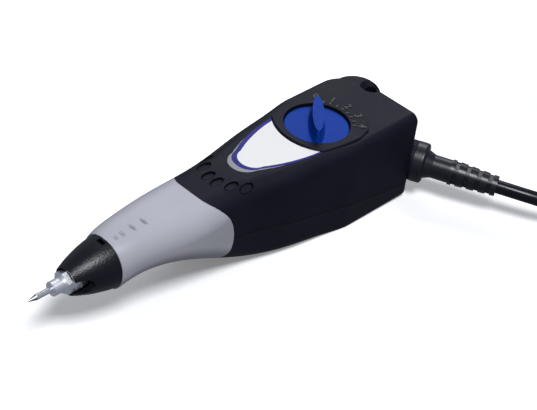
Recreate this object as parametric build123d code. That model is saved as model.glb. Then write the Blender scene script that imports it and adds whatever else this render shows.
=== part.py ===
from build123d import *
import os
from collections import namedtuple
from math import cos, pi, radians, sin, sqrt, tan

# Electric engraver: a plunger driven by an electromagnet in a two-part housing, with a stroke dial on top.
# The tool's own frame has its origin at the dial's centre on the top face, X to the rear along the plunger,
# Y to the tool's left and Z up. The tool then stands on its flat underside, with that face at Z = 0.

# Housing form, in millimetres
rear_x = 41.0
rear_edge_round = 1.0
corner_radius = 14.0
body_half_width = 22.8
body_depth = 44.7
underside_tilt = 2.0
underside_trim = 0.5
body_top_round = 4.0
body_bottom_round = 4.4
straight_x = 5.0
straight_lead = 3.0
straight_draw = 0.1
shoulder_x = -20.0
shoulder_half_width = 20.6
shoulder_top_round = 6.3
shoulder_bottom_round = 6.0
chest_x = -42.0
chest_half_width = 17.5
chest_depth = 41.3
chest_top_round = 7.6
chest_bottom_round = 8.0
waist_x = -60.0
waist_half_width = 15.6
waist_drop = 0.3
waist_depth = 36.3
waist_top_round = 9.0
waist_bottom_round = 10.0
grip_x = -78.0
grip_half_width = 15.9
grip_drop = 1.1
grip_depth = 27.8
grip_top_round = 10.0
grip_bottom_round = 11.2
throat_x = -97.0
throat_half_width = 14.0
throat_drop = 1.2
throat_depth = 21.6
throat_top_round = 9.6
throat_bottom_round = 9.6
lead_x = -107.0
lead_half_width = 12.7
lead_drop = 1.6
lead_depth = 21.6
lead_top_round = 9.5
lead_bottom_round = 9.5
grip_front_x = -116.2
grip_front_half_width = 11.2
grip_front_drop = 2.8
grip_front_depth = 25.2
grip_front_top_round = 10.2
grip_front_bottom_round = 10.2

# Walls, parting and clearances
wall = 2.5
sleeve_wall = 1.8
core_wall = 2.0
sleeve_gap = 0.2
seat_gap = 0.05
slide_gap = 0.1
moving_gap = 0.3
parting_tilt = 8.73
parting_cross_x = -105.0
sleeve_edge_x = -61.0
sleeve_edge_drop = 21.0
sleeve_edge_upper = 23.0
sleeve_edge_lower = 14.7

# Plunger line
plunger_drop = 14.0
shaft_radius = 2.5
running_gap = 0.03
bush_radius = 4.5
bush_length = 12.0
bush_front_x = -109.0
neck_radius = 6.0
neck_length = 5.1
shaft_clear_radius = 3.3
stroke = 1.5

# Nose cap and point holder
nose_length = 18.3
nose_rear_radius = 11.1
nose_front_radius = 6.05
nose_bulge = 0.7
nose_front_bore = 5.3
nose_window_width = 6.0
nose_window_length = 7.0
nose_catch_width = 3.6
nose_catch_length = 1.8
nose_catch_inset = 0.8
nose_catch_depth = 1.2
chuck_flats = 8.5
chuck_front_x = -136.6
chuck_hex_length = 11.1
chuck_hub_radius = 4.0
chuck_hub_length = 2.2
chuck_boss_radius = 3.0
chuck_boss_length = 5.0
shaft_seat_depth = 4.0
point_radius = 1.175
point_gap = 0.04
point_tip_x = -152.7
point_cone_length = 4.0
point_flat_radius = 0.15
point_held_length = 13.2
set_screw_x = -132.2
set_screw_radius = 1.8
set_screw_proud = 0.6
set_screw_socket = 2.0
set_screw_socket_depth = 1.4

# Dial, cam, stop and switch
plateau_height = 0.8
plateau_bevel = 0.4
plateau_rear_radius = 22.0
plateau_corner_x = -11.8
plateau_corner_y = 15.6
plateau_front_x = -17.3
plateau_side_x = 6.8
plateau_side_y = 18.7
plateau_swell = 0.5
plateau_shoulder_x = 14.1
dial_radius = 14.0
dial_well_gap = 0.4
dial_sink = 1.3
dial_thickness = 2.5
dial_rest_angle = 45.0
dial_sweep = 90.0
dial_edge_round = 0.5
fin_height = 6.4
fin_base_width = 8.0
fin_waist_width = 4.8
fin_top_width = 5.0
fin_top_length = 25.0
fin_base_length = 28.0
spindle_radius = 3.0
spindle_flat = 2.4
well_floor = 2.0
well_pad_margin = 2.2
cam_thickness = 2.5
cam_front_radius = 11.0
cam_front_fall = 1.2
cam_rear_radius = 9.0
cam_blend_angle = 15.0
clip_thickness = 0.7
clip_radius = 5.5
clip_mouth = 4.4
spindle_end = 0.6
stop_half_width = 4.0
stop_thickness = 2.9
stop_drop = 10.3
stop_pin_radius = 1.5
stop_rail_width = 2.0
stop_lip_thickness = 1.1
stop_lip_reach = 1.5
switch_length = 16.0
switch_half_width = 6.5
switch_height = 8.0
switch_gap_x = 4.0
magnet_radius = 1.3
magnet_thickness = 1.6
magnet_x = 7.2
terminal_length = 3.0

# Electromagnet
armature_front_x = -30.0
armature_thickness = 6.0
armature_half_width = 14.0
armature_top_drop = 9.5
air_gap = 3.0
core_length = 33.0
core_half_width = 16.0
core_height = 13.0
core_top_drop = 21.0
core_leg = 5.5
core_middle_half = 5.0
core_yoke = 7.0
bobbin_wall = 0.8
bobbin_flange = 1.0
bobbin_margin = 4.0
winding_clear = 0.2
spring_wire = 0.9
spring_radius = 4.5
spring_turns = 6
spring_collar_x = -78.0
spring_collar_thickness = 2.0
spring_collar_radius = 5.6
spring_wall_x = -58.0
spring_wall_thickness = 2.5
rail_width = 3.0

# Fasteners
screw_radius = 1.4
screw_pilot_gap = 0.06
screw_length = 14.0
screw_head_radius = 3.0
screw_head_height = 2.0
screw_slot_width = 0.8
screw_slot_depth = 0.9
screw_clear = 0.35
screw_seat_wall = 4.0
boss_wall = 2.0
rear_screw_inset_x = 8.0
rear_screw_inset_y = 6.3
front_screw_x = -36.0
front_screw_y = 11.5

# Label recess, dimples, grip marks and hanging eye
label_tip_x = -49.6
label_nose_x = -43.0
label_nose_y = 7.2
label_side_x = -27.0
label_side_y = 12.8
label_corner_gap = 0.5
label_thickness = 0.5
label_gap = 0.15
dimple_length = 6.6
dimple_width = 3.6
dimple_depth = 0.7
dimple_places = [(-60.5, 2.5), (-60.5, -2.5), (-57.7, 8.0), (-57.7, -8.0), (-53.0, 11.8), (-53.0, -11.8)]
grip_mark_places = [(-99.0, 5.6), (-104.6, 5.4), (-109.8, 4.2), (-113.0, 3.2)]
grip_mark_y = -2.2
grip_mark_width = 1.8
grip_mark_depth = 0.5
lug_x = 34.5
lug_y = 8.8
lug_radius = 11.2
lug_top_drop = 0.2
lug_edge_round = 3.0
eye_x = 40.6
eye_y = 5.4
eye_sleeve_radius = 5.3
eye_bore_radius = 2.8
eye_scoop_depth = 2.4
eye_scoop_radius = 5.0
eye_scoop_floor = 3.2
eye_height = 8.6
eye_groove_length = 10.0
eye_groove_floor = 3.0

# Cord outlet, boot and cord
outlet_x = 48.0
outlet_y = -20.0
outlet_drop = 29.3
outlet_turn = 64.0
outlet_dip = 2.0
turret_radius = 9.1
turret_length = 27.0
boot_spigot_radius = 6.0
boot_spigot_length = 12.0
boot_collar_radius = 9.2
boot_collar_thickness = 5.0
boot_collar_round = 1.2
boot_flare_radius = 6.6
boot_flare_length = 3.5
boot_neck_radius = 5.3
boot_rib_radius = 5.8
boot_end_radius = 4.6
boot_groove_depth = 0.5
boot_length = 38.0
boot_slot_rings = 4
boot_slots_round = 4
boot_slot_pitch = 5.2
boot_slot_width = 2.0
boot_slot_depth = 1.6
boot_slot_reach = 5.2
boot_plain_end = 3.2
cord_diameter = 6.3
lead_radius = 1.0
lead_spread = 1.5
lead_turn_in = 23.0
cord_straight = 16.0
cord_bends = [(83.3, -82.0, 11.0), (98.6, -91.5, 7.4), (116.0, -96.5, 4.8)]
cord_level_x = 136.0
bend_share = 0.45

# Coiled part of the cord, its tie and the plug
coil_centre_x = 172.0
coil_centre_y = -57.0
coil_mean_radius = 32.5
coil_layers = 4
coil_layer_turns = 2
coil_turn_gap = 0.7
coil_layer_gap = 0.7
coil_reversal = 0.25
coil_tail_turns = 0.2
coil_tail_radius = 35.5
coil_tail_lead = 0.25
coil_tail_climb = 0.45
coil_start_angle = 270.0
coil_arcs_per_turn = 8
coil_samples = 600
tie_thickness = 0.8
tie_gap = 0.5
tie_width = 6.0
tie_angle = 90.0
tie_round = 2.5
plug_length = 35.0
plug_width = 26.0
plug_thickness = 13.7
plug_neck_width = 13.0
plug_shoulder = 12.0
plug_edge_round = 1.5
pin_radius = 2.0
pin_length = 19.0
pin_tip_round = 1.4
pin_spacing = 18.6

cord_radius = cord_diameter / 2
sleeve_inset = sleeve_wall + sleeve_gap
FAR = 400.0
Station = namedtuple("Station", "x half_width top bottom top_round bottom_round")


def underside(x):
    """Height of the flat underside at x."""
    return -body_depth + tan(radians(underside_tilt)) * (rear_x - x)


def parting(x):
    """Height of the parting plane between the two housing halves at x."""
    return -plunger_drop - tan(radians(parting_tilt)) * (x - parting_cross_x)


foot_depth = -underside(0)
stand = Rot(0, -underside_tilt, 0) * Pos(0, 0, foot_depth)

body_bottom = -body_depth - underside_trim
stations = [
    Station(straight_x, body_half_width, 0, body_bottom, body_top_round, body_bottom_round),
    Station(straight_x - straight_lead, body_half_width - straight_draw, 0, body_bottom + straight_draw,
            body_top_round, body_bottom_round),
    Station(shoulder_x, shoulder_half_width, 0, underside(shoulder_x) - underside_trim,
            shoulder_top_round, shoulder_bottom_round),
    Station(chest_x, chest_half_width, 0, -chest_depth, chest_top_round, chest_bottom_round),
    Station(waist_x, waist_half_width, -waist_drop, -waist_depth, waist_top_round, waist_bottom_round),
    Station(grip_x, grip_half_width, -grip_drop, -grip_depth, grip_top_round, grip_bottom_round),
    Station(throat_x, throat_half_width, -throat_drop, -throat_depth, throat_top_round, throat_bottom_round),
    Station(lead_x, lead_half_width, -lead_drop, -lead_depth, lead_top_round, lead_bottom_round),
    Station(grip_front_x, grip_front_half_width, -grip_front_drop, -grip_front_depth,
            grip_front_top_round, grip_front_bottom_round),
]


def section(x, half_width, top, bottom, top_round, bottom_round):
    """Rounded rectangle across the tool at x."""
    bow = 1 - sqrt(0.5)
    upper, lower = top - top_round, bottom + bottom_round
    flat_top, flat_bottom = half_width - top_round, half_width - bottom_round
    near_top, near_bottom = half_width - bow * top_round, half_width - bow * bottom_round
    high, low = top - bow * top_round, bottom + bow * bottom_round
    outline = [
        Line((-flat_top, top), (flat_top, top)),
        ThreePointArc((flat_top, top), (near_top, high), (half_width, upper)),
        Line((half_width, upper), (half_width, lower)),
        ThreePointArc((half_width, lower), (near_bottom, low), (flat_bottom, bottom)),
        Line((flat_bottom, bottom), (-flat_bottom, bottom)),
        ThreePointArc((-flat_bottom, bottom), (-near_bottom, low), (-half_width, lower)),
        Line((-half_width, lower), (-half_width, upper)),
        ThreePointArc((-half_width, upper), (-near_top, high), (-flat_top, top)),
    ]
    across = Plane(origin=(x, 0, 0), x_dir=(0, 1, 0), z_dir=(1, 0, 0))
    return across * make_face(Curve() + outline)


def form(rear_inset, front_inset):
    """Tapering front of the housing, drawn in by one inset on the body and another under the grip."""
    faces = []
    for s in stations:
        inset = rear_inset if s.x > waist_x else front_inset
        faces.append(section(s.x, s.half_width - inset, s.top - inset, s.bottom + inset,
                             s.top_round - inset, s.bottom_round - inset))
    return loft(faces)


def straight_body(inset, end_x):
    """Straight rear of the housing from the dial to end_x, drawn in by an inset, with sharp rear corners."""
    face = section(straight_x, body_half_width - inset, -inset, body_bottom + inset,
                   body_top_round - inset, body_bottom_round - inset)
    return extrude(face, end_x - straight_x, dir=(1, 0, 0))


def between(x0, x1):
    """Slab across the whole tool from x0 to x1."""
    return Pos((x0 + x1) / 2, 0, 0) * Box(x1 - x0, FAR, FAR)


def post(x, y, radius, low, high):
    """Upright cylinder from height low to height high."""
    return Pos(x, y, (low + high) / 2) * Cylinder(radius, high - low)


def block(x0, x1, y0, y1, z0, z1):
    """Box given by its sides."""
    return Pos((x0 + x1) / 2, (y0 + y1) / 2, (z0 + z1) / 2) * Box(x1 - x0, y1 - y0, z1 - z0)


def top_of(shape, x, y):
    """Height of a shape's top at a place."""
    return (shape & post(x, y, seat_gap, -FAR / 2, FAR / 2)).bounding_box().max.Z


def rod(radius, x0, x1):
    """Cylinder on the plunger's axis from x0 to x1."""
    return Pos((x0 + x1) / 2, 0, -plunger_drop) * Rot(0, 90, 0) * Cylinder(radius, x1 - x0)


def round_corner(body, inset):
    """Straight rear with its left corner made round in plan."""
    axis_x, axis_y = rear_x - corner_radius, body_half_width - corner_radius
    corner = post(axis_x, axis_y, corner_radius - inset, body_bottom + inset, -inset)
    rims = corner.edges().filter_by(GeomType.CIRCLE).sort_by(Axis.Z)
    corner = fillet(rims[-1], body_top_round - inset)
    rims = corner.edges().filter_by(GeomType.CIRCLE).sort_by(Axis.Z)
    corner = fillet(rims[0], body_bottom_round - inset)
    return body - block(axis_x, rear_x, axis_y, body_half_width, body_bottom, 0) + corner


above_parting = (Pos(parting_cross_x, 0, -plunger_drop) * Rot(0, parting_tilt, 0)
                 * Pos(0, 0, FAR / 2) * Box(2 * FAR, FAR, FAR))
below_underside = (Pos(0, 0, -foot_depth) * Rot(0, underside_tilt, 0)
                   * Pos(0, 0, -FAR / 2) * Box(2 * FAR, FAR, FAR))

# Cord outlet: its axis runs backwards and to the tool's right, a little downwards
outlet_angle = radians(outlet_turn)
outlet_fall = radians(outlet_dip)
outlet_level = cos(outlet_fall)
outlet_axis = Vector(cos(outlet_angle) * outlet_level, -sin(outlet_angle) * outlet_level, -sin(outlet_fall))
outlet_base = Vector(outlet_x, outlet_y, -outlet_drop)
outlet_plane = Plane(origin=outlet_base, x_dir=outlet_axis.cross(Vector(0, 0, 1)), z_dir=outlet_axis)


def on_outlet(shape):
    """Shape made along Z, set on the outlet's axis with Z = 0 at the collar's seat."""
    return outlet_plane.location * shape


def sleeve_front(gap):
    """Everything in front of the round edge where the grip meets the housing, less a gap."""
    edge_x, slant = sleeve_edge_x - gap, sqrt(0.5)
    upper_x, lower_x = edge_x - sleeve_edge_upper, edge_x - sleeve_edge_lower
    top, middle = (upper_x, sleeve_edge_upper - sleeve_edge_drop), (edge_x, -sleeve_edge_drop)
    bottom = (lower_x, -sleeve_edge_lower - sleeve_edge_drop)
    upper_way = (upper_x + slant * sleeve_edge_upper, slant * sleeve_edge_upper - sleeve_edge_drop)
    lower_way = (lower_x + slant * sleeve_edge_lower, -slant * sleeve_edge_lower - sleeve_edge_drop)
    edges = [
        ThreePointArc(top, upper_way, middle),
        ThreePointArc(middle, lower_way, bottom),
        Polyline(bottom, (-FAR, bottom[1]), (-FAR, top[1]), top),
    ]
    return extrude(Plane.XZ * make_face(Curve() + edges), FAR / 2, both=True)


def plateau_outline(margin):
    """Egg-shaped raised field round the dial, grown by a margin."""
    corner = (plateau_corner_x - margin, plateau_corner_y + margin)
    side = (plateau_side_x, plateau_side_y + margin)
    swell = ((corner[0] + side[0]) / 2, (corner[1] + side[1]) / 2 + plateau_swell)
    rear = plateau_rear_radius + margin
    shoulder = (plateau_shoulder_x, sqrt(rear ** 2 - plateau_shoulder_x ** 2))
    right = [(p[0], -p[1]) for p in (corner, swell, side, shoulder)]
    edges = [
        ThreePointArc(corner, swell, side),
        Line(side, shoulder),
        ThreePointArc(shoulder, (rear, 0), right[3]),
        Line(right[3], right[2]),
        ThreePointArc(right[2], right[1], right[0]),
        ThreePointArc(right[0], (plateau_front_x - margin, 0), corner),
    ]
    return make_face(Curve() + edges)


def label_outline(margin):
    """Pointed label field in front of the dial, grown by a margin."""
    rear_x_at_side = plateau_corner_x - label_corner_gap + margin
    corner = (rear_x_at_side, plateau_corner_y - label_corner_gap + margin)
    side = (label_side_x, label_side_y + margin)
    nose = (label_nose_x - margin, label_nose_y + margin)
    edges = [
        ThreePointArc(corner, side, nose),
        ThreePointArc(nose, (label_tip_x - margin, 0), (nose[0], -nose[1])),
        ThreePointArc((nose[0], -nose[1]), (side[0], -side[1]), (corner[0], -corner[1])),
        ThreePointArc((corner[0], -corner[1]), (plateau_front_x - label_corner_gap + margin, 0), corner),
    ]
    return make_face(Curve() + edges)


# Heights of the dial group
dial_top = plateau_height - dial_sink
dial_under = dial_top - dial_thickness
well_bottom = dial_under - slide_gap
pad_bottom = well_bottom - well_floor
cam_top = pad_bottom - moving_gap
cam_bottom = cam_top - cam_thickness
clip_top = cam_bottom - slide_gap
clip_bottom = clip_top - clip_thickness
spindle_bottom = clip_bottom - spindle_end

# Places along the plunger
armature_rear_x = armature_front_x + armature_thickness
core_front_x = armature_rear_x + air_gap
core_rear_x = core_front_x + core_length
core_bottom = -core_top_drop - core_height
core_middle_z = -core_top_drop - core_height / 2
bush_rear_x = bush_front_x + bush_length
nose_front_x = grip_front_x - nose_length
chuck_hex_rear_x = chuck_front_x + chuck_hex_length
chuck_rear_x = chuck_hex_rear_x + chuck_hub_length
shaft_front_x = chuck_rear_x - shaft_seat_depth
chuck_tip_x = chuck_front_x - chuck_boss_length
pad_radius = dial_radius + dial_well_gap + well_pad_margin
rail_front_x = armature_rear_x + stroke + moving_gap + wall
stop_pin_x = -(cam_front_radius + moving_gap + stroke + stop_pin_radius)
stop_rear_x = stop_pin_x + stop_pin_radius
switch_front_x = cam_rear_radius + moving_gap + switch_gap_x
switch_rear_x = switch_front_x + switch_length
stop_top = -stop_drop
stop_bottom = stop_top - stop_thickness

screw_places = [
    (rear_x - rear_screw_inset_x, body_half_width - rear_screw_inset_y),
    (rear_x - rear_screw_inset_x, rear_screw_inset_y - body_half_width),
    (front_screw_x, front_screw_y),
    (front_screw_x, -front_screw_y),
]


def screw_seat(x):
    """Height of the screw head's seat in the lower half."""
    return parting(x) - screw_seat_wall


def housing_body():
    """Outer form of both halves, stepped down under the grip sleeve, with neck, eye and cord turret."""
    rear = straight_body(0, rear_x)
    rear = fillet(rear.faces().sort_by(Axis.X)[-1].edges(), rear_edge_round)
    front = form(0, 0) - (sleeve_front(0) - form(sleeve_inset, sleeve_inset))
    body = front + round_corner(rear, 0)
    body += rod(neck_radius, grip_front_x - neck_length, grip_front_x + core_wall)
    lug = post(lug_x, lug_y, lug_radius, -eye_height, -lug_top_drop)
    body += fillet(lug.edges().filter_by(GeomType.CIRCLE).sort_by(Axis.Z)[-1], lug_edge_round)
    plateau = extrude(plateau_outline(0), plateau_height)
    body += chamfer(plateau.faces().sort_by(Axis.Z)[-1].edges(), plateau_bevel)
    turret = on_outlet(Pos(0, 0, -turret_length / 2) * Cylinder(turret_radius, turret_length))
    body += turret & between(rear_x - wall, FAR)
    return body - below_underside


def housing_cavity():
    """Hollow inside of the housing, from the spring's front to the rear wall."""
    front_inset = sleeve_inset + core_wall
    hollow = form(wall, front_inset) & between(bush_rear_x, FAR)
    hollow += round_corner(straight_body(wall, rear_x - wall), wall)
    keep = post(0, 0, pad_radius, pad_bottom, 0)
    keep += post(eye_x, eye_y, eye_sleeve_radius, -eye_height - eye_groove_length - eye_groove_floor, 0)
    spring_wall = between(spring_wall_x, spring_wall_x + spring_wall_thickness)
    spring_wall -= rod(shaft_clear_radius, spring_wall_x - wall, spring_wall_x + 2 * wall)
    return hollow - keep - spring_wall


def shell_bores():
    """Bush seat, shaft passage, dial well and spindle hole, eye, cord outlet and label recess."""
    cut = rod(bush_radius + seat_gap, bush_front_x, bush_rear_x)
    cut += rod(shaft_clear_radius, grip_front_x - neck_length, bush_front_x)
    cut += post(0, 0, dial_radius + dial_well_gap, well_bottom, plateau_height)
    cut += post(0, 0, spindle_radius + seat_gap, pad_bottom, well_bottom)
    cut += post(eye_x, eye_y, eye_bore_radius, -eye_height - eye_groove_length, plateau_height)
    scoop = Cone(eye_scoop_floor, eye_scoop_radius, eye_scoop_depth)
    cut += Pos(eye_x, eye_y, -eye_scoop_depth / 2) * scoop
    spigot_bore = boot_spigot_length + slide_gap
    cut += on_outlet(Pos(0, 0, -spigot_bore / 2) * Cylinder(boot_spigot_radius + seat_gap, spigot_bore))
    cut += on_outlet(Pos(0, 0, -turret_length / 2) * Cylinder(cord_radius + slide_gap, turret_length))
    cut += Pos(0, 0, -label_thickness) * extrude(label_outline(label_gap), label_thickness + plateau_height)
    return cut


def dimple(surface, x, y):
    """Shallow oval hollow along X, square to the surface at its place."""
    step = dimple_width / 4
    slope_x = (top_of(surface, x + step, y) - top_of(surface, x - step, y)) / (2 * step)
    slope_y = (top_of(surface, x, y + step) - top_of(surface, x, y - step)) / (2 * step)
    square = Plane(origin=(x, y, top_of(surface, x, y)), x_dir=(1, 0, slope_x), z_dir=(-slope_x, -slope_y, 1))
    return square.location * extrude(Ellipse(dimple_length / 2, dimple_width / 2), dimple_depth, both=True)


def inner_supports():
    """Screw bosses, rails that keep the stroke stop upright, and supports of the magnet core."""
    pieces = []
    for x, y in screw_places:
        pieces.append(post(x, y, screw_radius + boss_wall, parting(x), -wall / 2))
        pieces.append(post(x, y, screw_head_radius + screw_clear + boss_wall / 2, underside(x), parting(x)))
    rail_x0, rail_x1 = rail_front_x, stop_rear_x - stop_pin_radius
    lip_top = stop_bottom - slide_gap
    inner, outer = stop_half_width + slide_gap, stop_half_width + slide_gap + stop_rail_width
    leg_y = core_half_width - core_leg / 2
    for side in (-1, 1):
        y0, y1 = sorted((side * inner, side * outer))
        y2, y3 = sorted((side * (stop_half_width - stop_lip_reach), side * outer))
        pieces.append(block(rail_x0, rail_x1, y0, y1, lip_top, -wall / 2))
        pieces.append(block(rail_x0, rail_x1, y2, y3, lip_top - stop_lip_thickness, lip_top))
        y4, y5 = side * leg_y - rail_width / 2, side * leg_y + rail_width / 2
        pieces.append(block(core_front_x, core_rear_x, y4, y5, -body_depth, core_bottom))
        yoke_x = core_rear_x - core_yoke / 2
        pieces.append(post(yoke_x, side * leg_y, rail_width / 2, -core_top_drop, -wall / 2))
    return pieces[0].fuse(*pieces[1:])


def screw_holes():
    """Pilot holes, clearance holes and sunk head seats of the housing screws."""
    holes = []
    for x, y in screw_places:
        seat = screw_seat(x)
        holes.append(post(x, y, screw_radius + screw_pilot_gap, seat, seat + screw_length + screw_clear))
        holes.append(post(x, y, screw_radius + screw_clear, seat, parting(x)))
        holes.append(post(x, y, screw_head_radius + screw_clear, -body_depth - wall, seat))
    return holes[0].fuse(*holes[1:])


def make_shells():
    """Upper and lower housing halves."""
    hollow = housing_cavity()
    shell = housing_body() - (hollow - inner_supports())
    surface = form(0, 0)
    dimples = [dimple(surface, x, y) for x, y in dimple_places]
    shell = shell.cut(shell_bores(), screw_holes(), *dimples)
    return shell & above_parting, shell - above_parting


def make_grip_sleeve():
    """Soft sleeve over the front of both halves, with four shallow dents across its top."""
    surface = form(0, 0)
    sleeve = (surface - form(sleeve_wall, sleeve_wall)) & sleeve_front(sleeve_gap)
    radius = (grip_mark_width ** 2 / 4 + grip_mark_depth ** 2) / (2 * grip_mark_depth)
    spread = sqrt(radius / grip_mark_depth)
    for x, length in grip_mark_places:
        top = top_of(surface, x, grip_mark_y)
        half = spread * length / 2
        arc = ThreePointArc((0, -half), (radius, 0), (0, half))
        spindle = revolve(make_face(Curve() + [arc, Line((0, half), (0, -half))]), Axis.Y)
        sleeve -= Pos(x, grip_mark_y, top - grip_mark_depth + radius) * spindle
    return sleeve


def make_nose_cap():
    """Conical cap with a window towards the right for the clamp screw."""
    middle_x = (grip_front_x + nose_front_x) / 2
    middle_radius = (nose_rear_radius + nose_front_radius) / 2 + nose_bulge
    seat_x = grip_front_x - neck_length - slide_gap
    bore = neck_radius + seat_gap
    edges = [
        ThreePointArc((grip_front_x, nose_rear_radius), (middle_x, middle_radius),
                      (nose_front_x, nose_front_radius)),
        Polyline((nose_front_x, nose_front_radius), (nose_front_x, nose_front_bore), (seat_x, bore),
                 (grip_front_x, bore), (grip_front_x, nose_rear_radius)),
    ]
    cap = revolve(make_face(Curve() + edges), Axis.X)
    reach = nose_rear_radius + wall
    window_half = nose_window_width / 2
    window = block(nose_front_x - wall, nose_front_x + nose_window_length - window_half, -reach, 0,
                   -window_half, window_half)
    window += (Pos(nose_front_x + nose_window_length - window_half, -reach / 2, 0) * Rot(90, 0, 0)
               * Cylinder(window_half, reach))
    catch_x = grip_front_x - nose_catch_inset
    catch = block(catch_x - nose_catch_length, catch_x, -nose_catch_width / 2, nose_catch_width / 2,
                  nose_rear_radius - nose_catch_depth - nose_catch_inset, reach)
    return Pos(0, 0, -plunger_drop) * (cap - window - catch)


def make_label_plate():
    """Thin plate in the top recess."""
    return Pos(0, 0, -label_thickness) * extrude(label_outline(0), label_thickness)


def spindle_section(gap):
    """Round spindle with one flat, grown by a gap."""
    radius = spindle_radius + gap
    return Circle(radius) & Pos(0, spindle_flat + gap - radius, 0) * Rectangle(2 * radius, 2 * radius)


def make_dial_knob():
    """Round dial with a finger fin and its spindle."""
    disc = post(0, 0, dial_radius, dial_under, dial_top)
    disc = fillet(disc.edges().filter_by(GeomType.CIRCLE).sort_by(Axis.Z)[-1], dial_edge_round)
    fin_sizes = [
        (dial_top - dial_edge_round, fin_base_length, fin_base_width),
        (dial_top + fin_height / 2, (fin_base_length + fin_top_length) / 2, fin_waist_width),
        (dial_top + fin_height, fin_top_length, fin_top_width),
    ]
    fin = loft([Pos(0, 0, z) * Ellipse(length / 2, width / 2) for z, length, width in fin_sizes])
    knob = disc + (fin & post(0, 0, dial_radius, dial_under, dial_top + 2 * fin_height))
    knob += post(0, 0, spindle_radius, pad_bottom, dial_under)
    knob += Pos(0, 0, spindle_bottom) * extrude(spindle_section(0), pad_bottom - spindle_bottom)
    return Rot(0, 0, dial_rest_angle) * knob


def make_stroke_cam():
    """Cam with a falling front edge for the stroke stop and a pocket behind for the switch's magnet."""
    def edge_point(angle):
        radius = cam_rear_radius
        if 135 < angle < 300:
            radius = cam_front_radius - cam_front_fall * (angle - 180) / dial_sweep
        return (radius * cos(radians(angle)), radius * sin(radians(angle)))

    def blend_point(a, b):
        middle = radians((a + b) / 2)
        pa, pb = Vector(*edge_point(a)), Vector(*edge_point(b % 360))
        radius = (pa.length + pb.length) / 2
        return (radius * cos(middle), radius * sin(middle))

    rear0, rear1 = -cam_blend_angle, dial_sweep + cam_blend_angle
    front0, front1 = 180 - cam_blend_angle, 180 + dial_sweep + cam_blend_angle
    edges = [
        ThreePointArc(edge_point(rear0), edge_point((rear0 + rear1) / 2), edge_point(rear1)),
        ThreePointArc(edge_point(rear1), blend_point(rear1, front0), edge_point(front0)),
        ThreePointArc(edge_point(front0), edge_point((front0 + front1) / 2), edge_point(front1)),
        ThreePointArc(edge_point(front1), blend_point(front1, 360 + rear0), edge_point(rear0)),
    ]
    cam = Pos(0, 0, cam_bottom) * extrude(make_face(Curve() + edges), cam_thickness)
    bore = Rot(0, 0, dial_rest_angle) * spindle_section(seat_gap)
    cam -= post(magnet_x, 0, magnet_radius + seat_gap, cam_bottom, cam_bottom + magnet_thickness + seat_gap)
    return cam - Pos(0, 0, cam_bottom) * extrude(bore, cam_thickness)


def make_dial_clip():
    """Open retaining ring under the cam."""
    ring = Circle(clip_radius) - Circle(spindle_radius + seat_gap)
    ring -= Pos(0, -clip_radius, 0) * Rectangle(clip_mouth, 2 * clip_radius)
    return Pos(0, 0, clip_bottom) * Rot(0, 0, dial_rest_angle) * extrude(ring, clip_thickness)


def make_stroke_stop():
    """Bar on the armature's back, with a pin that comes up to the cam's front edge."""
    bar = block(armature_rear_x, stop_rear_x, -stop_half_width, stop_half_width, stop_bottom, stop_top)
    return bar + post(stop_pin_x, 0, stop_pin_radius, stop_top, cam_top)


def make_switch_body():
    """Closed magnetic switch under the top wall, with two terminals behind."""
    body = block(switch_front_x, switch_rear_x, -switch_half_width, switch_half_width,
                 pad_bottom - switch_height, pad_bottom)
    terminal_z = pad_bottom - switch_height / 2
    for side in (-1, 1):
        y = side * switch_half_width / 2
        body += block(switch_rear_x, switch_rear_x + terminal_length, y - lead_radius, y + lead_radius,
                      terminal_z - lead_radius / 2, terminal_z + lead_radius / 2)
    return body


def make_switch_magnet():
    """Small round magnet in the cam's underside, in front of the switch while the dial is at rest."""
    return post(magnet_x, 0, magnet_radius, cam_bottom, cam_bottom + magnet_thickness)


def make_plunger_shaft():
    """Round plunger from the point holder to the armature."""
    return rod(shaft_radius, shaft_front_x, armature_rear_x)


def make_front_bush():
    """Plain bearing of the plunger."""
    bush = rod(bush_radius, bush_front_x, bush_rear_x)
    return bush - rod(shaft_radius + running_gap, bush_front_x, bush_rear_x)


def make_armature():
    """Steel plate in front of the magnet's poles, on the plunger's rear end."""
    plate = block(armature_front_x, armature_rear_x, -armature_half_width, armature_half_width,
                  core_bottom, -armature_top_drop)
    plate = chamfer(plate.edges().filter_by(Axis.X), core_leg / 2)
    return plate - rod(shaft_radius + seat_gap, armature_front_x, armature_rear_x)


def make_spring_collar():
    """Collar on the plunger that the return spring pushes forwards."""
    rear_x_of_collar = spring_collar_x + spring_collar_thickness
    collar = rod(spring_collar_radius, spring_collar_x, rear_x_of_collar)
    return collar - rod(shaft_radius + seat_gap, spring_collar_x, rear_x_of_collar)


def biarc_wire(points, tangents):
    """Smooth wire through points with given directions, two tangent arcs from each point to the next."""
    edges = []
    for p0, p1, t0, t1 in zip(points, points[1:], tangents, tangents[1:]):
        chord, both = p1 - p0, t0 + t1
        spread = 2 * (1 - t0.dot(t1))
        along = chord.dot(both)
        reach = (sqrt(along ** 2 + spread * chord.dot(chord)) - along) / spread
        joint = (p0 + p1 + (t0 - t1) * reach) * 0.5
        edges.append(TangentArc(p0, joint, tangent=t0))
        edges.append(TangentArc(p1, joint, tangent=t1 * -1))
    return edges


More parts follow.
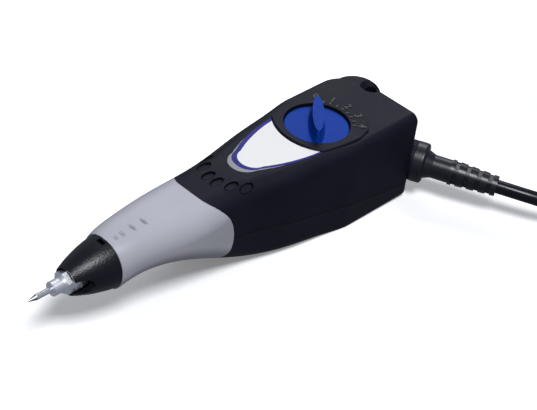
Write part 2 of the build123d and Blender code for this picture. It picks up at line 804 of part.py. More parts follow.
def make_return_spring():
    """Compression spring between the collar and the spring wall."""
    start_x = spring_collar_x + spring_collar_thickness + spring_wire / 2 + slide_gap
    end_x = spring_wall_x - spring_wire / 2 - slide_gap
    pitch = (end_x - start_x) / spring_turns
    steps = 4 * spring_turns
    points, tangents = [], []
    for i in range(steps + 1):
        angle = 2 * pi * i / 4
        points.append(Vector(start_x + pitch * i / 4, spring_radius * cos(angle),
                             spring_radius * sin(angle) - plunger_drop))
        heading = Vector(pitch / (2 * pi), -spring_radius * sin(angle), spring_radius * cos(angle))
        tangents.append(heading.normalized())
    path = Wire(biarc_wire(points, tangents))
    return sweep(Plane(origin=points[0], z_dir=tangents[0]) * Circle(spring_wire / 2), path)


def make_chuck():
    """Hexagonal point holder with a round hub on the plunger and a short boss in front."""
    hexagon = RegularPolygon(chuck_flats / 2, 6, major_radius=False, rotation=30)
    across = Plane(origin=(chuck_front_x, 0, -plunger_drop), x_dir=(0, 1, 0), z_dir=(1, 0, 0))
    chuck = extrude(across * hexagon, chuck_hex_length)
    chuck += rod(chuck_hub_radius, chuck_hex_rear_x, chuck_rear_x)
    chuck += rod(chuck_boss_radius, chuck_tip_x, chuck_front_x)
    chuck -= rod(shaft_radius + seat_gap, shaft_front_x, chuck_rear_x)
    chuck -= rod(point_radius + point_gap, chuck_tip_x, chuck_tip_x + point_held_length + slide_gap)
    screw_hole = Cylinder(set_screw_radius + seat_gap, chuck_flats)
    return chuck - Pos(set_screw_x, -chuck_flats / 2, -plunger_drop) * Rot(90, 0, 0) * screw_hole


def make_set_screw():
    """Clamp screw of the point, with a hexagon socket."""
    inner_y = -(point_radius + point_gap)
    outer_y = -(chuck_flats / 2 + set_screw_proud)
    length = inner_y - outer_y
    screw = Cylinder(set_screw_radius, length, align=(Align.CENTER, Align.CENTER, Align.MIN))
    socket = extrude(RegularPolygon(set_screw_socket / 2, 6, major_radius=False), set_screw_socket_depth)
    screw -= Pos(0, 0, length - set_screw_socket_depth) * socket
    return Pos(set_screw_x, inner_y, -plunger_drop) * Rot(90, 0, 0) * screw


def make_engraving_point():
    """Shank of the engraving point."""
    return rod(point_radius, point_tip_x + point_cone_length, chuck_tip_x + point_held_length)


def make_carbide_tip():
    """Ground cone at the end of the point."""
    cone = Cone(point_radius, point_flat_radius, point_cone_length)
    return Pos(point_tip_x + point_cone_length / 2, 0, -plunger_drop) * Rot(0, -90, 0) * cone


def make_stator_core():
    """Stack of E-shaped sheets with its three poles towards the armature."""
    width = core_half_width
    sheet = Pos((core_front_x + core_rear_x) / 2, 0) * Rectangle(core_length, 2 * width)
    window = width - core_leg - core_middle_half
    window_length = core_length - core_yoke
    for side in (-1, 1):
        middle = side * (core_middle_half + window / 2)
        sheet -= Pos(core_front_x + window_length / 2, middle) * Rectangle(window_length, window)
    return Pos(0, 0, core_bottom) * extrude(sheet, core_height)


def magnet_tube(inner_gap, thickness, x0, x1):
    """Rectangular tube round the middle pole."""
    half_y, half_z = core_middle_half + inner_gap, core_height / 2 + inner_gap
    outer = block(x0, x1, -half_y - thickness, half_y + thickness,
                  core_middle_z - half_z - thickness, core_middle_z + half_z + thickness)
    return outer - block(x0, x1, -half_y, half_y, core_middle_z - half_z, core_middle_z + half_z)


bobbin_front_x = core_front_x + bobbin_flange
bobbin_rear_x = core_rear_x - core_yoke - slide_gap


def make_coil_bobbin():
    """Spool of the winding on the middle pole."""
    spool = magnet_tube(slide_gap, bobbin_wall, bobbin_front_x, bobbin_rear_x)
    flange = bobbin_wall + bobbin_margin
    spool += magnet_tube(slide_gap, flange, bobbin_front_x, bobbin_front_x + bobbin_flange)
    spool += magnet_tube(slide_gap, flange, bobbin_rear_x - bobbin_flange, bobbin_rear_x)
    return spool


def make_coil_winding():
    """Wire pack on the spool."""
    pack = magnet_tube(slide_gap + bobbin_wall, bobbin_margin - winding_clear,
                       bobbin_front_x + bobbin_flange, bobbin_rear_x - bobbin_flange)
    corners = pack.edges().filter_by(Axis.X).sort_by(lambda e: abs(e.center().Y))[-4:]
    return fillet(corners, bobbin_margin / 2)


def make_housing_screws():
    """Four screws from below, through the lower half into the upper one."""
    screws = []
    for x, y in screw_places:
        seat = screw_seat(x)
        head = post(x, y, screw_head_radius, seat - screw_head_height, seat)
        bottom = seat - screw_head_height
        head -= block(x - screw_head_radius, x + screw_head_radius, y - screw_slot_width / 2,
                      y + screw_slot_width / 2, bottom, bottom + screw_slot_depth)
        screws.append(head + post(x, y, screw_radius, seat, seat + screw_length))
    return Compound(screws)


def make_strain_relief():
    """Boot of the cord: spigot in the turret, collar, neck, and tapered ribs parted by grooves with slots."""
    neck_start = boot_collar_thickness + boot_flare_length
    rib_start = boot_length - boot_plain_end - (boot_slot_rings - 0.5) * boot_slot_pitch
    profile = Polyline((0, -boot_spigot_length), (boot_spigot_radius, -boot_spigot_length),
                       (boot_spigot_radius, 0), (boot_collar_radius, 0),
                       (boot_collar_radius, boot_collar_thickness),
                       (boot_flare_radius, boot_collar_thickness), (boot_neck_radius, neck_start),
                       (boot_neck_radius, rib_start), (boot_rib_radius, rib_start),
                       (boot_end_radius, boot_length), (0, boot_length), close=True)
    boot = revolve(Plane.XZ * make_face(profile), Axis.Z)
    circles = boot.edges().filter_by(GeomType.CIRCLE)
    rims = [e for e in circles if abs(e.radius - boot_collar_radius) < seat_gap]
    boot = fillet(max(rims, key=lambda rim: rim.center().Z), boot_collar_round)
    taper = (boot_rib_radius - boot_end_radius) / (boot_length - rib_start)
    for ring in range(boot_slot_rings):
        height = boot_length - boot_plain_end - ring * boot_slot_pitch
        radius = boot_end_radius + taper * (boot_length - height)
        groove = Cylinder(2 * radius, boot_slot_width) - Cylinder(radius - boot_groove_depth, boot_slot_width)
        boot -= Pos(0, 0, height) * groove
        for slot in range(boot_slots_round):
            turn = 360 * slot / boot_slots_round
            cutter = Box(2 * boot_slot_depth, boot_slot_reach, boot_slot_width)
            boot -= Rot(0, 0, turn) * Pos(radius, 0, height) * cutter
    return on_outlet(boot)


def outlet_point(distance):
    """Point on the cord outlet's axis in the tool's frame."""
    return outlet_base + outlet_axis * distance


def make_inner_leads():
    """Two insulated leads from the boot, one to the switch and one to the winding."""
    start = outlet_point(-boot_spigot_length)
    turn_in = outlet_point(-lead_turn_in)
    apart = outlet_plane.y_dir * lead_spread
    terminal = Vector(switch_rear_x + terminal_length, -switch_half_width / 2, pad_bottom - switch_height / 2)
    winding_end = Vector(bobbin_rear_x, core_middle_half, 3 * lead_radius - core_top_drop)
    over_yoke = Vector(core_rear_x + 4 * lead_radius, winding_end.Y, winding_end.Z)
    routes = [
        [start + apart, turn_in + apart, terminal + Vector(terminal_length, 0, 0), terminal],
        [start - apart, turn_in - apart, over_yoke, winding_end],
    ]
    leads = []
    for route in routes:
        path = FilletPolyline(*route, radius=2 * lead_radius)
        heading = (route[1] - route[0]).normalized()
        leads.append(sweep(Plane(origin=route[0], z_dir=heading) * Circle(lead_radius), path))
    return Compound(leads)


# Cord: straight out of the boot, down to the floor in a gentle curve, then into the coil
layer_step = cord_diameter + coil_layer_gap
turn_step = cord_diameter + coil_turn_gap
coil_floor = tie_thickness + tie_gap + cord_radius
coil_outer = coil_mean_radius + turn_step * coil_layer_turns / 2
coil_inner = coil_mean_radius - turn_step * coil_layer_turns / 2
piled_turns = coil_layers * coil_layer_turns
plug_axis_height = coil_floor + (coil_layers - 1) * layer_step + cord_radius + tie_gap + plug_thickness / 2


def standing(point):
    """Point of the tool's frame as it lies when the tool stands on its underside."""
    return (stand * Location(tuple(point))).position


def smooth_step(share):
    """Smooth rise from 0 to 1 while the share goes from 0 to 1."""
    share = min(max(share, 0.0), 1.0)
    return share * share * (3 - 2 * share)


def coil_radius(turn):
    """Distance of the coil's middle line from the coil's axis after a number of turns."""
    if turn > piled_turns:
        start = coil_outer - turn_step * coil_reversal / 2
        return start - (start - coil_tail_radius) * ((turn - piled_turns) / coil_tail_turns) ** 3
    layer_end = round(turn / coil_layer_turns)
    away = abs(turn - layer_end * coil_layer_turns)
    if layer_end > 0 and away < coil_reversal:
        away = (away ** 2 + coil_reversal ** 2) / (2 * coil_reversal)
    return coil_outer - turn_step * away if layer_end % 2 == 0 else coil_inner + turn_step * away


def coil_point(turn):
    """Point of the coil's middle line after a number of turns."""
    radius = coil_radius(turn)
    climbs = [smooth_step((turn - k * coil_layer_turns) * 2 + 0.5) for k in range(1, coil_layers)]
    tail_rise = plug_axis_height - coil_floor - layer_step * (coil_layers - 1)
    tail_share = (turn - piled_turns + coil_tail_lead) / coil_tail_climb
    height = coil_floor + layer_step * sum(climbs) + tail_rise * smooth_step(tail_share)
    angle = radians(coil_start_angle) + 2 * pi * turn
    return Vector(coil_centre_x + radius * cos(angle), coil_centre_y + radius * sin(angle), height)


def coil_heading(turn):
    """Direction of the coil's middle line after a number of turns."""
    nudge = 0.002
    return (coil_point(turn + nudge) - coil_point(turn - nudge)).normalized()


coil_turns = piled_turns + coil_tail_turns
coil_start = coil_point(0)
coil_entry = coil_start - Vector(cord_diameter, 0, 0)
plug_heading = Vector(coil_heading(coil_turns).X, coil_heading(coil_turns).Y, 0).normalized()
plug_start = coil_point(coil_turns) + plug_heading * cord_diameter
plug_plane = Plane(origin=plug_start, x_dir=plug_heading, z_dir=(0, 0, 1))

cord_exit = standing(outlet_point(boot_length))
cord_lead_out = standing(outlet_point(boot_length + cord_straight))
cord_route = [
    cord_exit,
    cord_lead_out,
    *(Vector(*place) for place in cord_bends),
    Vector(cord_level_x, coil_entry.Y, coil_entry.Z),
    coil_entry,
]


def route_radii(route):
    """Bend radius at each corner of a route, from the shorter run beside it and the turn."""
    radii = []
    for before, at, after in zip(route, route[1:], route[2:]):
        run = min((at - before).length, (after - at).length)
        turn = radians((at - before).get_angle(after - at))
        radii.append(bend_share * run / tan(turn / 2))
    return radii


def volume_share(tube, path):
    """Volume of a swept tube over that of its length times its section."""
    return round(tube.volume / (pi * cord_radius ** 2 * path.length), 4)


def make_cord():
    """Free stretch of the cord from the boot to the coil."""
    radii = route_radii(cord_route)
    print("cord bend radii", [round(r, 1) for r in radii])
    path = FilletPolyline(*cord_route, radius=radii)
    heading = (cord_route[1] - cord_route[0]).normalized()
    tube = sweep(Plane(origin=cord_route[0], z_dir=heading) * Circle(cord_radius), path)
    print("cord length", round(path.length, 1), "volume share", volume_share(tube, path))
    return tube


def make_cord_coil():
    """Rest of the cord in piled turns, ending on top at the plug."""
    steps = round(coil_turns * coil_arcs_per_turn / 2)
    turns = [coil_turns * i / steps for i in range(steps + 1)]
    points = [coil_point(t) for t in turns]
    tangents = [coil_heading(t) for t in turns]
    tangents[0] = (coil_start - coil_entry).normalized()
    tangents[-1] = plug_heading
    edges = [Line(coil_entry, coil_start)] + biarc_wire(points, tangents) + [Line(points[-1], plug_start)]
    path = Wire(edges)
    tube = sweep(Plane(origin=coil_entry, z_dir=tangents[0]) * Circle(cord_radius), path)
    print("coil length", round(path.length, 1), "volume share", volume_share(tube, path))
    samples = [path.position_at(i / coil_samples) for i in range(coil_samples + 1)]
    apart = int(3 * cord_diameter * coil_samples / path.length) + 1
    least = min((a - b).length for i, a in enumerate(samples) for b in samples[i + apart:])
    print("coil least gap to itself", round(least - cord_diameter, 2))
    return tube


def make_cord_tie():
    """Strap round the piled turns, where they lie in level rows."""
    inner_width = turn_step * (coil_layer_turns - 1) + cord_diameter + 2 * tie_gap
    inner_height = layer_step * (coil_layers - 1) + cord_diameter + 2 * tie_gap
    inner = RectangleRounded(inner_width, inner_height, tie_round)
    outer = RectangleRounded(inner_width + 2 * tie_thickness, inner_height + 2 * tie_thickness,
                             tie_round + tie_thickness)
    strap = extrude(outer - inner, tie_width / 2, both=True)
    angle = radians(tie_angle)
    outward = Vector(cos(angle), sin(angle), 0)
    coil_axis = Vector(coil_centre_x, coil_centre_y, tie_thickness + inner_height / 2)
    middle = coil_axis + outward * coil_mean_radius
    return Plane(origin=middle, x_dir=outward, z_dir=outward.cross(Vector(0, 0, 1))).location * strap


def make_plug_body():
    """Flat two-pin plug with a tapered cord end."""
    outline = Polyline(
        (0, -plug_neck_width / 2), (plug_shoulder, -plug_width / 2), (plug_length, -plug_width / 2),
        (plug_length, plug_width / 2), (plug_shoulder, plug_width / 2), (0, plug_neck_width / 2), close=True)
    body = extrude(make_face(outline), plug_thickness / 2, both=True)
    body = fillet(body.edges().filter_by(Axis.Z), plug_edge_round * 2)
    body = fillet(body.faces().filter_by(Axis.Z).edges(), plug_edge_round)
    return plug_plane.location * body


def make_plug_pins():
    """Two round pins of the plug."""
    pins = []
    for side in (-1, 1):
        pin = Rot(0, 90, 0) * Cylinder(pin_radius, pin_length)
        pin = Pos(plug_length + pin_length / 2, side * pin_spacing / 2, 0) * pin
        tip = pin.edges().filter_by(GeomType.CIRCLE).sort_by(Axis.X)[-1]
        pins.append(plug_plane.location * fillet(tip, pin_tip_round))
    return Compound(pins)


def main():
    os.makedirs("parts", exist_ok=True)
    upper_shell, lower_shell = make_shells()
    tool_pieces = {
        "upper_shell": upper_shell,
        "lower_shell": lower_shell,
        "grip_sleeve": make_grip_sleeve(),
        "nose_cap": make_nose_cap(),
        "label_plate": make_label_plate(),
        "dial_knob": make_dial_knob(),
        "stroke_cam": make_stroke_cam(),
        "dial_clip": make_dial_clip(),
        "stroke_stop": make_stroke_stop(),
        "switch_body": make_switch_body(),
        "switch_magnet": make_switch_magnet(),
        "plunger_shaft": make_plunger_shaft(),
        "front_bush": make_front_bush(),
        "armature": make_armature(),
        "spring_collar": make_spring_collar(),
        "return_spring": make_return_spring(),
        "chuck": make_chuck(),
        "set_screw": make_set_screw(),
        "engraving_point": make_engraving_point(),
        "carbide_tip": make_carbide_tip(),
        "stator_core": make_stator_core(),
        "coil_bobbin": make_coil_bobbin(),
        "coil_winding": make_coil_winding(),
        "housing_screws": make_housing_screws(),
        "inner_leads": make_inner_leads(),
        "strain_relief": make_strain_relief(),
    }
    cord_pieces = {
        "cord": make_cord(),
        "cord_coil": make_cord_coil(),
        "cord_tie": make_cord_tie(),
        "plug_body": make_plug_body(),
        "plug_pins": make_plug_pins(),
    }
    for name, piece in tool_pieces.items():
        export_step(stand * piece, f"parts/{name}.step")
    for name, piece in cord_pieces.items():
        export_step(piece, f"parts/{name}.step")


main()
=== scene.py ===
import math

import bmesh
import bpy
from mathutils import Matrix, Vector


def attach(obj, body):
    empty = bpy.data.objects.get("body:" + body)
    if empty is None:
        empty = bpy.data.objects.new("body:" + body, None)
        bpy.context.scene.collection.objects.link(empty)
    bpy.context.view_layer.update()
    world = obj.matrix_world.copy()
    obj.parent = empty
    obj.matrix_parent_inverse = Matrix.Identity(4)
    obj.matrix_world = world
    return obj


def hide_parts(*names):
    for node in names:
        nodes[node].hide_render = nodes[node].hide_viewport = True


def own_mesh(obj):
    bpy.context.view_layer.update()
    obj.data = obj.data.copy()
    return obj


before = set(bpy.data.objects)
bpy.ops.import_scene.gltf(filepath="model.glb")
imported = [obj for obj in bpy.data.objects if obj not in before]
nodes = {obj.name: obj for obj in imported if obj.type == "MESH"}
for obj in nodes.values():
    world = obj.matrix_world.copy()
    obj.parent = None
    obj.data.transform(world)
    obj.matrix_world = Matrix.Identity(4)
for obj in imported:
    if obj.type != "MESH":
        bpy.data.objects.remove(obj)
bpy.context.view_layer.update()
scene = bpy.context.scene
scene.view_settings.view_transform = "Standard"

MM_PER_M = 1000
QUARTER_TURN = math.radians(90)
WHITE = (1.0, 1.0, 1.0)

# The tool stands on its underside, tilted from its own frame, whose origin is the dial's centre.
STAND_TILT = math.radians(2.0)
DIAL_HEIGHT = 0.043268
tool_to_row = Matrix.Rotation(-STAND_TILT, 4, "Y") @ Matrix.Translation((0, 0, DIAL_HEIGHT))


def mm(*values):
    """Millimetres as a vector in metres."""
    return Vector(values) / MM_PER_M


def add_object(name, data):
    """New object in the scene."""
    obj = bpy.data.objects.new(name, data)
    scene.collection.objects.link(obj)
    return obj


# Camera at the photograph's place: focal length in its pixels, place in millimetres, turn in degrees

SENSOR_WIDTH = 36.0
FOCAL_PIXELS = 1500
PHOTO_WIDTH = 537
CAMERA_PLACE = (-417.87, -325.37, 395.28)
CAMERA_TURN = (52.647, -7.161, -44.949)
CAMERA_REACH = 20


def place_camera():
    """Camera with the photograph's viewpoint and field of view."""
    data = bpy.data.cameras.new("photo_camera")
    data.sensor_width = SENSOR_WIDTH
    data.lens = SENSOR_WIDTH * FOCAL_PIXELS / PHOTO_WIDTH
    data.clip_end = CAMERA_REACH
    camera = add_object("photo_camera", data)
    camera.location = mm(*CAMERA_PLACE)
    camera.rotation_euler = [math.radians(a) for a in CAMERA_TURN]
    scene.camera = camera


place_camera()


# Cord: the route out of the boot, then the coil's turns, on one spline (millimetres, the diameter in metres)

CORD_DIAMETER = 0.0063
COIL_CENTRE = (172.0, -57.0)
COIL_MEAN_RADIUS = 32.5
COIL_START_ANGLE = math.radians(270)
COIL_LAYERS = 4
LAYER_TURNS = 2
TURN_STEP = 7.0
LAYER_STEP = 7.0
CLIMB_TURNS = 0.5
REVERSAL = 0.25
TAIL_TURNS = 0.2
TAIL_RADIUS = 35.5
TAIL_LEAD = 0.25
TAIL_CLIMB = 0.45
COIL_FLOOR = 4.45
PLUG_HEIGHT = 35.95
POINTS_PER_TURN = 20
CORD_ROUNDNESS = 6
CORD_STEPS = 4
SPLINE_ORDER = 3
COIL_OUTER = COIL_MEAN_RADIUS + TURN_STEP * LAYER_TURNS / 2
COIL_INNER = COIL_MEAN_RADIUS - TURN_STEP * LAYER_TURNS / 2
PILED_TURNS = COIL_LAYERS * LAYER_TURNS

cord_route = [
    (64.17, -54.13, 14.89),
    (71.19, -68.51, 14.58),
    (83.3, -82.0, 11.0),
    (98.6, -91.5, 7.4),
    (116.0, -96.5, 4.8),
    (136.0, -96.5, COIL_FLOOR),
    (165.7, -96.5, COIL_FLOOR),
]
PLUG_START = (206.43, -61.71, PLUG_HEIGHT)


def smooth_step(share):
    """Share held between 0 and 1, with a gentle start and end."""
    share = min(max(share, 0.0), 1.0)
    return share * share * (3 - 2 * share)


def coil_radius(turn):
    """Distance of the cord from the coil's axis after a number of turns."""
    if turn > PILED_TURNS:
        start = COIL_OUTER - TURN_STEP * REVERSAL / 2
        return start - (start - TAIL_RADIUS) * ((turn - PILED_TURNS) / TAIL_TURNS) ** 3
    layer_end = round(turn / LAYER_TURNS)
    away = abs(turn - layer_end * LAYER_TURNS)
    if layer_end > 0 and away < REVERSAL:
        away = (away ** 2 + REVERSAL ** 2) / (2 * REVERSAL)
    return COIL_OUTER - TURN_STEP * away if layer_end % 2 == 0 else COIL_INNER + TURN_STEP * away


def coil_point(turn):
    """Point of the coil after a number of turns."""
    radius = coil_radius(turn)
    climbs = [smooth_step((turn - k * LAYER_TURNS) / CLIMB_TURNS + 0.5) for k in range(1, COIL_LAYERS)]
    tail_rise = PLUG_HEIGHT - COIL_FLOOR - LAYER_STEP * (COIL_LAYERS - 1)
    tail_share = (turn - PILED_TURNS + TAIL_LEAD) / TAIL_CLIMB
    height = COIL_FLOOR + LAYER_STEP * sum(climbs) + tail_rise * smooth_step(tail_share)
    angle = COIL_START_ANGLE + 2 * math.pi * turn
    return (COIL_CENTRE[0] + radius * math.cos(angle), COIL_CENTRE[1] + radius * math.sin(angle), height)


def make_cord():
    """Mains cord as one round tube on a smooth spline."""
    turns = PILED_TURNS + TAIL_TURNS
    steps = round(turns * POINTS_PER_TURN)
    points = cord_route + [coil_point(turns * i / steps) for i in range(steps + 1)] + [PLUG_START]
    data = bpy.data.curves.new("mains_cord", "CURVE")
    data.dimensions = "3D"
    # A bevel of 1 makes each point's radius the tube's own radius.
    data.bevel_depth = 1.0
    data.bevel_resolution = CORD_ROUNDNESS
    data.resolution_u = CORD_STEPS
    data.use_fill_caps = True
    spline = data.splines.new("NURBS")
    spline.points.add(len(points) - 1)
    for control, p in zip(spline.points, points):
        control.co = (*mm(*p), 1)
        control.radius = CORD_DIAMETER / 2
    spline.order_u = SPLINE_ORDER
    spline.use_endpoint_u = True
    return add_object("mains_cord", data)


cord = make_cord()
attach(cord, "housing")
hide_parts("cord", "cord_coil")


# Materials: parts that they share

NOISE_LOW, NOISE_HIGH = 0.3, 0.7
TONE_LOW, TONE_HIGH = 0.35, 0.65


def start_material(name):
    """Empty material with one principled shader: the material, its node tree and the shader."""
    material = bpy.data.materials.new(name)
    material.use_nodes = True
    tree = material.node_tree
    tree.nodes.clear()
    output = tree.nodes.new("ShaderNodeOutputMaterial")
    shader = tree.nodes.new("ShaderNodeBsdfPrincipled")
    tree.links.new(shader.outputs["BSDF"], output.inputs["Surface"])
    return material, tree, shader


def object_place(tree, scale=(1, 1, 1), turn=(0, 0, 0)):
    """Object coordinates, stretched and turned."""
    place = tree.nodes.new("ShaderNodeTexCoord")
    mapping = tree.nodes.new("ShaderNodeMapping")
    mapping.inputs["Scale"].default_value = scale
    mapping.inputs["Rotation"].default_value = turn
    tree.links.new(place.outputs["Object"], mapping.inputs["Vector"])
    return mapping.outputs["Vector"]


def noise(tree, place, cells, detail, roughness=0.5):
    """Value noise of a given number of cells per metre."""
    node = tree.nodes.new("ShaderNodeTexNoise")
    node.inputs["Scale"].default_value = cells
    node.inputs["Detail"].default_value = detail
    node.inputs["Roughness"].default_value = roughness
    tree.links.new(place, node.inputs["Vector"])
    return node.outputs["Fac"]


def spread(tree, value, low, high, from_low=NOISE_LOW, from_high=NOISE_HIGH):
    """Value stretched to run between two limits."""
    node = tree.nodes.new("ShaderNodeMapRange")
    node.inputs["From Min"].default_value = from_low
    node.inputs["From Max"].default_value = from_high
    node.inputs["To Min"].default_value = low
    node.inputs["To Max"].default_value = high
    tree.links.new(value, node.inputs["Value"])
    return node.outputs["Result"]


def two_tone(tree, value, dark, light):
    """Colour between two tones by a value."""
    ramp = tree.nodes.new("ShaderNodeValToRGB")
    stops = ramp.color_ramp.elements
    for stop, position, tone in ((stops[0], TONE_LOW, dark), (stops[1], TONE_HIGH, light)):
        stop.position = position
        stop.color = (*tone, 1)
    tree.links.new(value, ramp.inputs["Fac"])
    return ramp.outputs["Color"]


def overlay(tree, below, above, share):
    """One colour laid over another by a share."""
    mix = tree.nodes.new("ShaderNodeMix")
    mix.data_type = "RGBA"
    tree.links.new(share, mix.inputs["Factor"])
    for socket, colour in ((mix.inputs["A"], below), (mix.inputs["B"], above)):
        if isinstance(colour, tuple):
            socket.default_value = (*colour, 1)
        else:
            tree.links.new(colour, socket)
    return mix.outputs["Result"]


def arithmetic(tree, operation, *values):
    """Result of one sum on numbers or sockets."""
    node = tree.nodes.new("ShaderNodeMath")
    node.operation = operation
    for socket, value in zip(node.inputs, values):
        if isinstance(value, (int, float)):
            socket.default_value = value
        else:
            tree.links.new(value, socket)
    return node.outputs[0]


def set_surface(tree, shader, colour, roughness, specular):
    """Colour, roughness and strength of reflection of a plastic, rubber or printed surface."""
    tree.links.new(colour, shader.inputs["Base Color"])
    tree.links.new(roughness, shader.inputs["Roughness"])
    shader.inputs["Specular IOR Level"].default_value = specular


def relief(tree, shader, height, depth):
    """Bump of a given depth in metres."""
    bump = tree.nodes.new("ShaderNodeBump")
    bump.inputs["Strength"].default_value = 1.0
    bump.inputs["Distance"].default_value = depth
    tree.links.new(height, bump.inputs["Height"])
    tree.links.new(bump.outputs["Normal"], shader.inputs["Normal"])


def tool_axes(tree):
    """Coordinates in the tool's own frame, in millimetres."""
    node = tree.nodes.new("ShaderNodeSeparateXYZ")
    tree.links.new(object_place(tree, turn=(0, STAND_TILT, 0)), node.inputs[0])
    x, y, z = (arithmetic(tree, "MULTIPLY", node.outputs[a], MM_PER_M) for a in "XYZ")
    return x, y, arithmetic(tree, "SUBTRACT", z, MM_PER_M * DIAL_HEIGHT)


def oval_reach(tree, x, y, centre, half):
    """0 at an oval's centre and 1 on its edge."""
    square = 0.0
    for value, middle, reach in zip((x, y), centre, half):
        share = arithmetic(tree, "DIVIDE", arithmetic(tree, "SUBTRACT", value, middle), reach)
        square = arithmetic(tree, "MULTIPLY_ADD", share, share, square)
    return arithmetic(tree, "SQRT", square)


# Plastics and rubbers; places on the tool are in millimetres of its own frame

PATCH_CELLS = 60
PATCH_DETAIL = 4
GRAIN_DETAIL = 2

# Darker and lighter tone, range of roughness, grain in cells per metre, its depth in metres, reflection
MOULDED = {
    "nose_plastic": ((0.0015, 0.0015, 0.0055), (0.0025, 0.0025, 0.0075), (0.3, 0.38), 1500, 0.00012, 0.34),
    "dial_plastic": ((0.004, 0.043, 0.32), (0.006, 0.048, 0.35), (0.3, 0.36), 2500, 0.000006, 0.03),
    "cord_rubber": ((0.0015, 0.0015, 0.005), (0.0025, 0.0025, 0.007), (0.2, 0.28), 1500, 0.00001, 0.28),
    "boot_rubber": ((0.0015, 0.0015, 0.005), (0.0025, 0.0025, 0.007), (0.3, 0.36), 1500, 0.000008, 0.5),
    "tie_plastic": ((0.012, 0.012, 0.014), (0.018, 0.018, 0.02), (0.5, 0.6), 1600, 0.00006, 0.4),
    "plug_plastic": ((0.010, 0.010, 0.012), (0.014, 0.014, 0.016), (0.4, 0.5), 2200, 0.00004, 0.4),
    "inner_plastic": ((0.62, 0.60, 0.54), (0.68, 0.66, 0.6), (0.45, 0.55), 1800, 0.00002, 0.5),
    "mark_plastic": ((0.006, 0.006, 0.008), (0.008, 0.008, 0.010), (0.3, 0.38), 2600, 0.00001, 0.26),
}


def moulded(name, dark, light, rough, grain, grain_depth, specular):
    """Moulded plastic or rubber: two close tones, a varying gloss and a fine grain."""
    material, tree, shader = start_material(name)
    place = object_place(tree)
    broad = noise(tree, place, PATCH_CELLS, PATCH_DETAIL)
    tone = two_tone(tree, broad, dark, light)
    set_surface(tree, shader, tone, spread(tree, broad, *rough), specular)
    relief(tree, shader, noise(tree, place, grain, GRAIN_DETAIL), grain_depth)
    return material


# The lower shell's tones are lighter than the upper shell's: painted reflection of the floor on the lower sides
HOUSING_TONES = {
    "upper_plastic": ((0.0055, 0.0055, 0.0120), (0.0075, 0.0075, 0.0160)),
    "lower_plastic_painted_reflection": ((0.008, 0.008, 0.0150), (0.010, 0.010, 0.0190)),
}
HOUSING_PATCH_CELLS = 55
HOUSING_GRAIN_CELLS = 2300
HOUSING_GRAIN_DETAIL = 3
HOUSING_GRAIN_ROUGHNESS = 0.6
HOUSING_RELIEF = 0.00007
HOUSING_ROUGH = (0.46, 0.54)
HOUSING_SPECULAR = 0.12
# Dark tone of the groove where the halves meet and of the painted shade on the dimple rims
JOINT_AND_SHADE_TONE = (0.0012, 0.0012, 0.0016)
# Slanting line where the housing's halves meet, and its groove
PARTING_SLOPE = math.tan(math.radians(8.73))
PARTING_X = -105.0
PARTING_Z = -14.0
SEAM_HALF = 0.22
SEAM_SINK = -4.0
# Place and half size of the dimples of one side, as seen from above, and the fade of the painted shade on their
# rims
DIMPLES = [((-60.5, 2.5), (3.3, 1.8)), ((-57.7, 8.0), (3.3, 1.76)), ((-53.0, 11.8), (3.3, 1.57))]
RIM_SHADE_FADE = (0.06, 0.2)


def housing_shell(name, dark, light):
    """Black housing plastic with a fine moulded grain, the groove where the halves meet, and painted shade on the
    dimple rims.
    """
    material, tree, shader = start_material(name)
    place = object_place(tree)
    broad = noise(tree, place, HOUSING_PATCH_CELLS, PATCH_DETAIL)
    grain = noise(tree, place, HOUSING_GRAIN_CELLS, HOUSING_GRAIN_DETAIL, HOUSING_GRAIN_ROUGHNESS)
    x, y, z = tool_axes(tree)
    back = arithmetic(tree, "SUBTRACT", x, PARTING_X)
    seam_z = arithmetic(tree, "MULTIPLY_ADD", back, -PARTING_SLOPE, PARTING_Z)
    away = arithmetic(tree, "ABSOLUTE", arithmetic(tree, "SUBTRACT", z, seam_z))
    groove = spread(tree, away, 1.0, 0.0, SEAM_HALF / 3, SEAM_HALF)
    side = arithmetic(tree, "ABSOLUTE", y)
    # Painted shade: each dimple's rim is darkened and dulled as if its wall lay in shade
    rim_shade = 0.0
    for centre, half in DIMPLES:
        past_edge = arithmetic(tree, "SUBTRACT", oval_reach(tree, x, side, centre, half), 1.0)
        off = arithmetic(tree, "ABSOLUTE", past_edge)
        rim_shade = arithmetic(tree, "MAXIMUM", rim_shade, spread(tree, off, 1.0, 0.0, *RIM_SHADE_FADE))
    joint_and_shade = arithmetic(tree, "MAXIMUM", groove, rim_shade)
    colour = overlay(tree, two_tone(tree, broad, dark, light), JOINT_AND_SHADE_TONE, joint_and_shade)
    roughness = arithmetic(tree, "MAXIMUM", spread(tree, broad, *HOUSING_ROUGH), joint_and_shade)
    set_surface(tree, shader, colour, roughness, HOUSING_SPECULAR)
    relief(tree, shader, arithmetic(tree, "MULTIPLY_ADD", groove, SEAM_SINK, grain), HOUSING_RELIEF)
    return material


GRIP_DARK = (0.455, 0.458, 0.512)
GRIP_LIGHT = (0.475, 0.478, 0.532)
# Tone of the painted shade in the hollows of the grip's marks
GRIP_HOLLOW_SHADE = (0.10, 0.10, 0.13)
GRIP_ROUGH = (0.38, 0.46)
GRIP_SPECULAR = 0.25
GRIP_GRAIN_CELLS = 3200
GRIP_RELIEF = 0.00001
# Place, length and depth of painted shade of the grip's marks, their fade, and the heights where the grip's top
# begins
GRIP_MARKS = [(-99.0, 5.6, 0.7), (-104.6, 5.4, 0.6), (-109.8, 4.2, 0.4), (-113.0, 3.2, 0.35)]
GRIP_MARK_Y = -2.2
GRIP_MARK_HALF = 0.7
GRIP_MARK_FADE = (0.4, 1.0)
GRIP_TOP = (-14.0, -12.0)


